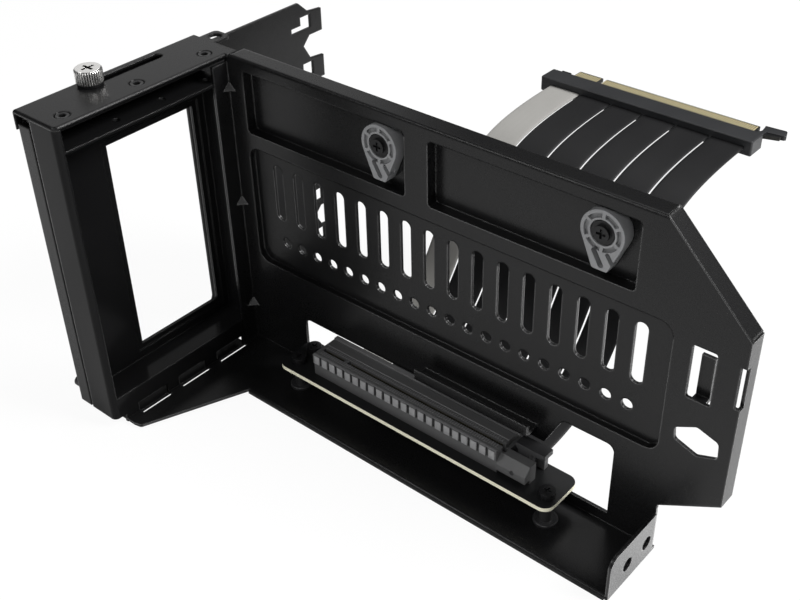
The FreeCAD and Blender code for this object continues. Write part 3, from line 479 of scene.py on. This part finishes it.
def makeTab():
    work = bmesh.new()
    loops = []
    for z in (tab["low"], tab["high"]):
        loops.append([work.verts.new(Vector((x, y, z)) * mm) for x, y in tab["outline"]])
    wall(work, loops[0], loops[1])
    caps = [work.faces.new(loop) for loop in loops]
    edges = {edge for face in caps for edge in face.edges}
    bmesh.ops.bevel(work, geom=list(edges), offset=tab["soft"] * mm, segments=2, affect="EDGES", profile=0.5)
    return finishPiece("plugTab", work, "carriage")


thumbHead = makeThumbscrew()
capScrews = makeCapScrews()
endNuts = makeEndNuts()
collars = makeCollars()
socketCells = makeCells()
socketCombs = makeCombs()
plugTab = makeTab()
print("mount: small pieces made")

strips = [makeStrip(index) for index in range(cable["strips"])]
print("mount: cable strips made")

# fine-texture powder coat on the folded sheets, each with its own gloss
coat = {
    "color": (0.004, 0.004, 0.0042, 1), "pale": (0.008, 0.008, 0.0083, 1),
    "grain": 2600, "cloud": 18, "scuff": 140, "cloudShare": 0.5, "scuffShare": 0.2, "roughVary": 0.06,
    "depth": 0.00003, "bump": 0.12, "edge": 0.001,
    "rubRough": 0.25, "downLimit": -0.05, "endFacing": 0.9, "endTop": -0.045,
    "sheets": {
        "powderCoat": {"level": 0.19, "dull": 0.22, "rub": 5.0, "endGloss": 0.8},
        "capCoat": {"level": 0.19, "dull": 0.22, "rub": 0.5, "endGloss": 0},
        "frameCoat": {"level": 0.07, "dull": 0.09, "rub": 3.0, "endGloss": 0},
    },
}


def powderCoat(name):
    sheet = coat["sheets"][name]
    finish = Finish(name)
    grain = finish.noise(coat["grain"], detail=2.0, rough=0.6)
    cloud = finish.noise(coat["cloud"], detail=4.0, rough=0.6)
    scuff = finish.noise(coat["scuff"], detail=6.0, rough=0.7)
    shade = cloud * coat["cloudShare"] + scuff * coat["scuffShare"]
    color = finish.blend(shade, coat["color"], coat["pale"])
    rough = sheet["dull"] + cloud * coat["roughVary"] + grain * coat["roughVary"]
    bent = finish.softEdges(coat["edge"])
    flat = finish.facing()
    along = finish.add("VectorMath", {"operation": "DOT_PRODUCT"}, {0: bent, 1: flat}, out="Value")
    bump = finish.relief(grain, coat["depth"], bent, coat["bump"])
    # bends that don't face down are rubbed brighter than the faces, and hands polish the tray's end flange
    lifted = finish.part(bent, "Z") > coat["downLimit"]
    endOn = finish.part(flat, "X") > coat["endFacing"]
    lowDown = finish.part(finish.where(), "Z") < coat["endTop"]
    shine = (1 - along) * sheet["rub"] * lifted + endOn * lowDown * sheet["endGloss"]
    return finish.done(color=color, rough=rough, normal=bump, level=sheet["level"],
                       coat=shine, coatRough=coat["rubRough"])


# black oxide on the small screws, with fine specks
oxide = {
    "dark": (0.004, 0.004, 0.0045, 1), "pale": (0.012, 0.012, 0.0125, 1), "speck": 900,
    "rough": 0.26, "roughVary": 0.12, "depth": 0.00002, "edge": 0.0002, "level": 0.18,
}


def blackScrew():
    finish = Finish("blackScrew")
    speck = finish.noise(oxide["speck"], detail=4.0)
    color = finish.blend(speck, oxide["dark"], oxide["pale"])
    rough = oxide["rough"] + speck * oxide["roughVary"]
    normal = finish.relief(speck, oxide["depth"], finish.softEdges(oxide["edge"]))
    return finish.done(color=color, rough=rough, normal=normal, level=oxide["level"])


# cap screws: the same oxide a little paler; down in the key recess they are painted near black and dull, as
# painted shade
keyed = {
    "dark": (0.006, 0.006, 0.0065, 1), "pale": (0.014, 0.014, 0.0145, 1), "speck": 900,
    # recess is the near-black colour of the painted shade in the key recess
    "recess": (0.0005, 0.0005, 0.0005, 1), "recessBelow": 0.25, "recessRough": 0.6,
    "rough": 0.24, "roughVary": 0.1, "depth": 0.00002, "edge": 0.0002, "level": 0.22,
}


def keyedScrew():
    finish = Finish("keyedScrew")
    speck = finish.noise(keyed["speck"], detail=4.0)
    headTop = capScrew["spots"][0][2]
    shadedRecess = finish.part(finish.where(), "Z") < (headTop - keyed["recessBelow"]) * mm
    shell = finish.blend(speck, keyed["dark"], keyed["pale"])
    # painted shade: everything below the head's top by more than recessBelow takes the near-black recess
    # colour
    color = finish.blend(shadedRecess, shell, keyed["recess"])
    rough = keyed["rough"] + speck * keyed["roughVary"] + shadedRecess * keyed["recessRough"]
    normal = finish.relief(speck, keyed["depth"], finish.softEdges(keyed["edge"]))
    return finish.done(color=color, rough=rough, normal=normal, level=keyed["level"])


# turned nickel, with painted shade in the grooves of the teeth and in the cross recess
nickel = {
    # the colour under oxide is the near-black painted shade of the grooves and the cross recess
    "bright": (0.95, 0.94, 0.92, 1), "bloom": (0.84, 0.83, 0.81, 1), "oxide": (0.02, 0.02, 0.02, 1),
    "lines": 420, "stretch": (1, 1, 14), "clouds": 60,
    "grooveFrom": 0.985, "grooveTo": 0.93,  # shares of the head's radius
    "sunkFrom": 0.2, "sunkTo": 0.6,  # millimetres below the head's top
    "rough": 0.2, "roughVary": 0.14, "shadeRough": 0.2, "depth": 0.00001, "edge": 0.0002,
}


def nickelPlate():
    finish = Finish("nickelPlate")
    turnedLines = finish.lines(nickel["lines"], detail=4, stretch=nickel["stretch"])
    bloom = finish.noise(nickel["clouds"])
    middle = tuple(value * mm for value in thumb["spot"])
    offset = finish.add("VectorMath", {"operation": "SUBTRACT"}, {0: finish.where(), 1: middle})
    flat = finish.add("VectorMath", {"operation": "MULTIPLY"}, {0: offset, 1: (1, 1, 0)})
    reach = finish.add("VectorMath", {"operation": "LENGTH"}, {0: flat}, out="Value")
    radius = thumb["radius"] * mm
    grooves = finish.add("MapRange", values={
        "Value": reach, "From Min": radius * nickel["grooveFrom"], "From Max": radius * nickel["grooveTo"]})
    sunk = finish.add("MapRange", values={
        "Value": finish.part(offset, "Z"), "From Min": (thumb["top"] - nickel["sunkFrom"]) * mm,
        "From Max": (thumb["top"] - nickel["sunkTo"]) * mm})
    face = finish.levelFaces()
    # painted shade: near black down in the tooth grooves and on level faces below the head's top, such as
    # the floor of the cross recess
    grooveShade = grooves * (1 - face) + sunk * face
    color = finish.blend(grooveShade, finish.blend(bloom, nickel["bright"], nickel["bloom"]), nickel["oxide"])
    rough = nickel["rough"] + turnedLines * nickel["roughVary"] + grooveShade * nickel["shadeRough"]
    normal = finish.relief(turnedLines, nickel["depth"], finish.softEdges(nickel["edge"]))
    return finish.done(color=color, rough=rough, metal=1.0, normal=normal)


# plain grained skin of the plastic pieces, and of the blackened steel pillars, pin and nuts
skin = {
    "grain": 1600, "cloud": 70, "roughVary": 0.12, "depth": 0.00002, "edge": 0.0003,
    "kinds": {
        "darkSteel": {"rough": 0.3, "level": 0.3,
                      "dark": (0.012, 0.012, 0.0125, 1), "pale": (0.028, 0.028, 0.029, 1)},
        "socketPlastic": {"rough": 0.45, "level": 0.5,
                          "dark": (0.05, 0.05, 0.051, 1), "pale": (0.075, 0.075, 0.076, 1)},
        # the combs' paler plastic is painted light on the socket's own plastic
        "litCombPlastic": {"rough": 0.4, "level": 0.5,
                        "dark": (0.1, 0.1, 0.102, 1), "pale": (0.14, 0.14, 0.142, 1)},
        # the cells' pale plastic is painted light on the socket's own plastic
        "litCellPlastic": {"rough": 0.4, "level": 0.5,
                        "dark": (0.19, 0.19, 0.193, 1), "pale": (0.25, 0.25, 0.253, 1)},
        "latchPlastic": {"rough": 0.4, "level": 0.3,
                         "dark": (0.012, 0.012, 0.013, 1), "pale": (0.026, 0.026, 0.027, 1)},
        "camPlastic": {"rough": 0.42, "level": 0.5,
                       "dark": (0.15, 0.152, 0.156, 1), "pale": (0.2, 0.202, 0.206, 1)},
        "plugPlastic": {"rough": 0.4, "level": 0.3,
                        "dark": (0.012, 0.0125, 0.0135, 1), "pale": (0.022, 0.0225, 0.024, 1)},
    },
}


def grainedSkin(name):
    kind = skin["kinds"][name]
    finish = Finish(name)
    grain = finish.noise(skin["grain"])
    cloud = finish.noise(skin["cloud"], detail=4.0)
    color = finish.blend(cloud, kind["dark"], kind["pale"])
    rough = kind["rough"] + grain * skin["roughVary"]
    normal = finish.relief(grain, skin["depth"], finish.softEdges(skin["edge"]))
    return finish.done(color=color, rough=rough, normal=normal, level=kind["level"])


# solder mask on the boards' faces; the riser's cut edges are bare laminate, the plug's are dark
mask = {
    "dark": (0.004, 0.0042, 0.0045, 1), "pale": (0.009, 0.0092, 0.0096, 1), "weave": 700,
    "edgeRough": 0.62, "faceGain": 0.27, "depth": 0.00001, "edge": 0.0002, "level": 0.25,
    "cutEdges": {
        "boardMask": [(0.86, 0.84, 0.68, 1), (0.76, 0.73, 0.56, 1)],
        "plugBoardMask": [(0.012, 0.012, 0.011, 1), (0.02, 0.019, 0.016, 1)],
    },
}


def boardMask(name):
    finish = Finish(name)
    face = finish.levelFaces()
    weave = finish.noise(mask["weave"])
    laminate = finish.blend(weave, *mask["cutEdges"][name])
    painted = finish.blend(weave, mask["dark"], mask["pale"])
    color = finish.blend(face, laminate, painted)
    rough = mask["edgeRough"] - face * mask["faceGain"]
    normal = finish.relief(weave, mask["depth"], finish.softEdges(mask["edge"]))
    return finish.done(color=color, rough=rough, normal=normal, level=mask["level"])


# gold flash over copper; dark gaps part the plug's fingers, which are out of step across its key notch
gold = {
    "wear": 500, "roughVary": 0.15, "depth": 0.00001, "edge": 0.0001,
    "pitch": 0.001, "notch": 0.0895, "shift": 0.00035, "start": 0.05, "finger": 0.5,
    "gap": (0.006, 0.0055, 0.004, 1),
    "kinds": {
        # the socket's contact springs take a gold about ten times darker than the fingers: painted shade
        # down in the card slot
        "shadedContactSprings": {"metal": 0.8, "rough": 0.4,
                           "bright": (0.1, 0.085, 0.055, 1), "worn": (0.05, 0.043, 0.03, 1)},
        "goldFingers": {"metal": 0.5, "rough": 0.35,
                        "bright": (0.82, 0.72, 0.44, 1), "worn": (0.7, 0.6, 0.34, 1)},
    },
}


def goldPlate(name, gaps=False):
    kind = gold["kinds"][name]
    finish = Finish(name)
    wear = finish.noise(gold["wear"], detail=4.0)
    color = finish.blend(wear, kind["bright"], kind["worn"])
    if gaps:
        x = finish.part(finish.where(), "X")
        along = (x + (1 - (x > gold["notch"])) * gold["shift"]) / gold["pitch"] - gold["start"]
        between = along.combine("FRACT", 0) > gold["finger"]
        color = finish.blend(between, color, gold["gap"])
    normal = finish.relief(wear, gold["depth"], finish.softEdges(gold["edge"]))
    rough = kind["rough"] + wear * gold["roughVary"]
    return finish.done(color=color, rough=rough, metal=kind["metal"], normal=normal)


# taped jacket of the cable: fine lengthwise lines and a soft gloss
jacket = {
    "lines": 1900, "stretch": (1, 0.02, 0.02), "cloud": 45, "cloudShare": 0.6, "lineShare": 0.4,
    "rough": 0.42, "roughVary": 0.12, "depth": 0.00003, "bump": 0.5, "edge": 0.0003, "level": 0.17,
    "colors": {
        "blackJacket": [(0.005, 0.005, 0.0055, 1), (0.011, 0.011, 0.0115, 1)],
        "greyJacket": [(0.2, 0.196, 0.186, 1), (0.26, 0.255, 0.243, 1)],
    },
}


def stripJacket(name):
    finish = Finish(name)
    lines = finish.lines(jacket["lines"], detail=2, stretch=jacket["stretch"])
    cloud = finish.noise(jacket["cloud"], detail=4.0)
    shade = cloud * jacket["cloudShare"] + lines * jacket["lineShare"]
    color = finish.blend(shade, *jacket["colors"][name])
    rough = jacket["rough"] + lines * jacket["roughVary"]
    normal = finish.relief(lines, jacket["depth"], finish.softEdges(jacket["edge"]), jacket["bump"])
    return finish.done(color=color, rough=rough, normal=normal, level=jacket["level"])


# one finish for pieces made here
def cover(material, *pieces):
    for piece in pieces:
        piece.data.materials.clear()
        piece.data.materials.append(material)


# one finish for pieces that come from the frame
def dress(material, *names):
    cover(material, *[nodes[name] for name in names])


dress(powderCoat("powderCoat"), "main_bracket")
dress(powderCoat("capCoat"), "top_cap", "case_bracket")
dress(powderCoat("frameCoat"), "slot_frame")
dress(blackScrew(), "cam_screws", "board_screws", "thumbscrew_washer")
cover(keyedScrew(), capScrews)
cover(nickelPlate(), thumbHead)
darkSteel = grainedSkin("darkSteel")
dress(darkSteel, "board_standoffs", "locating_pin")
cover(darkSteel, endNuts, collars)
dress(grainedSkin("camPlastic"), "cam_left", "cam_right")
dress(grainedSkin("socketPlastic"), "socket_body")
cover(grainedSkin("litCombPlastic"), socketCombs)
cover(grainedSkin("litCellPlastic"), socketCells)
dress(grainedSkin("latchPlastic"), "socket_latch")
plugPlastic = grainedSkin("plugPlastic")
dress(plugPlastic, "plug_housing")
cover(plugPlastic, plugTab)
dress(boardMask("boardMask"), "riser_board")
dress(boardMask("plugBoardMask"), "plug_board")
dress(goldPlate("shadedContactSprings"), "socket_contacts")
dress(goldPlate("goldFingers", gaps=True), "plug_contacts")
cover(stripJacket("greyJacket"), strips[0])
cover(stripJacket("blackJacket"), *strips[1:])
print("mount: finishes set")

# pale floor that shows white to the camera and still keeps a soft shadow
studio = {
    "floorSize": 6.0, "floorPaint": 0.82, "seenWhite": 0.93, "glossWhite": 0.1,
    "world": 0.1, "glossWorld": -0.05,
}


# how much of the white backdrop each kind of ray sees: all of it for the camera, a part for reflections
def backdropShare(finish, direct, reflected):
    seen = finish.add("LightPath", out="Is Camera Ray") + finish.add("LightPath", out="Is Transmission Ray")
    return seen * direct + finish.add("LightPath", out="Is Glossy Ray") * reflected


def makeFloor():
    mesh = bpy.data.meshes.new("floor")
    reach = studio["floorSize"]
    corners = [(-reach, -reach), (reach, -reach), (reach, reach), (-reach, reach)]
    mesh.from_pydata([(x, y, solidLow.z) for x, y in corners], [], [(0, 1, 2, 3)])
    floor = bpy.data.objects.new("floor", mesh)
    scene.collection.objects.link(floor)
    finish = Finish("floorPaint")
    paint = studio["floorPaint"]
    matte = finish.add("BsdfDiffuse", values={"Color": (paint, paint, paint, 1)})
    glow = finish.add("Emission", values={"Color": (1, 1, 1, 1), "Strength": 1.0})
    share = backdropShare(finish, studio["seenWhite"], studio["glossWhite"])
    mixed = finish.add("MixShader", values={0: share, 1: matte, 2: glow})
    finish.add("OutputMaterial", values={"Surface": mixed})
    mesh.materials.append(finish.owner)


def makeWorld():
    finish = Finish("studio", world=True)
    power = backdropShare(finish, 1 - studio["world"], studio["glossWorld"]) + studio["world"]
    air = finish.add("Background", values={"Color": (1, 1, 1, 1), "Strength": power})
    finish.add("OutputWorld", values={"Surface": air})
    scene.world = finish.owner


lamps = {
    "keySoftbox": {"place": (0.82, 0.38, 0.8), "aim": (0.17, -0.03, -0.02), "size": 0.5, "power": 22.0},
    "topBack": {"place": (0.0, 0.5, 1.1), "aim": (0.1, 0.0, 0.0), "size": 0.7, "power": 4.0},
    "leftSoftbox": {"place": (-0.711, 0.471, 0.463), "aim": (0.02, -0.06, 0.06), "size": 0.6, "power": 0.8},
    "frontLeft": {"place": (-0.38, -0.71, 0.82), "aim": (0.14, 0.0, 0.0), "size": 0.35, "power": 3.5},
    "frontFill": {"place": (0.42, -0.95, 0.8), "aim": (0.14, 0.0, 0.0), "size": 0.7, "power": 5.0},
}


def addLamp(name, lamp):
    light = bpy.data.lights.new(name, "AREA")
    light.shape = "SQUARE"
    light.size = lamp["size"]
    light.energy = lamp["power"]
    holder = bpy.data.objects.new(name, light)
    holder.location = lamp["place"]
    toward = Vector(lamp["aim"]) - Vector(lamp["place"])
    holder.rotation_euler = toward.to_track_quat("-Z", "Y").to_euler()
    scene.collection.objects.link(holder)


makeFloor()
makeWorld()
for name, lamp in lamps.items():
    addLamp(name, lamp)
print("mount: studio lit")
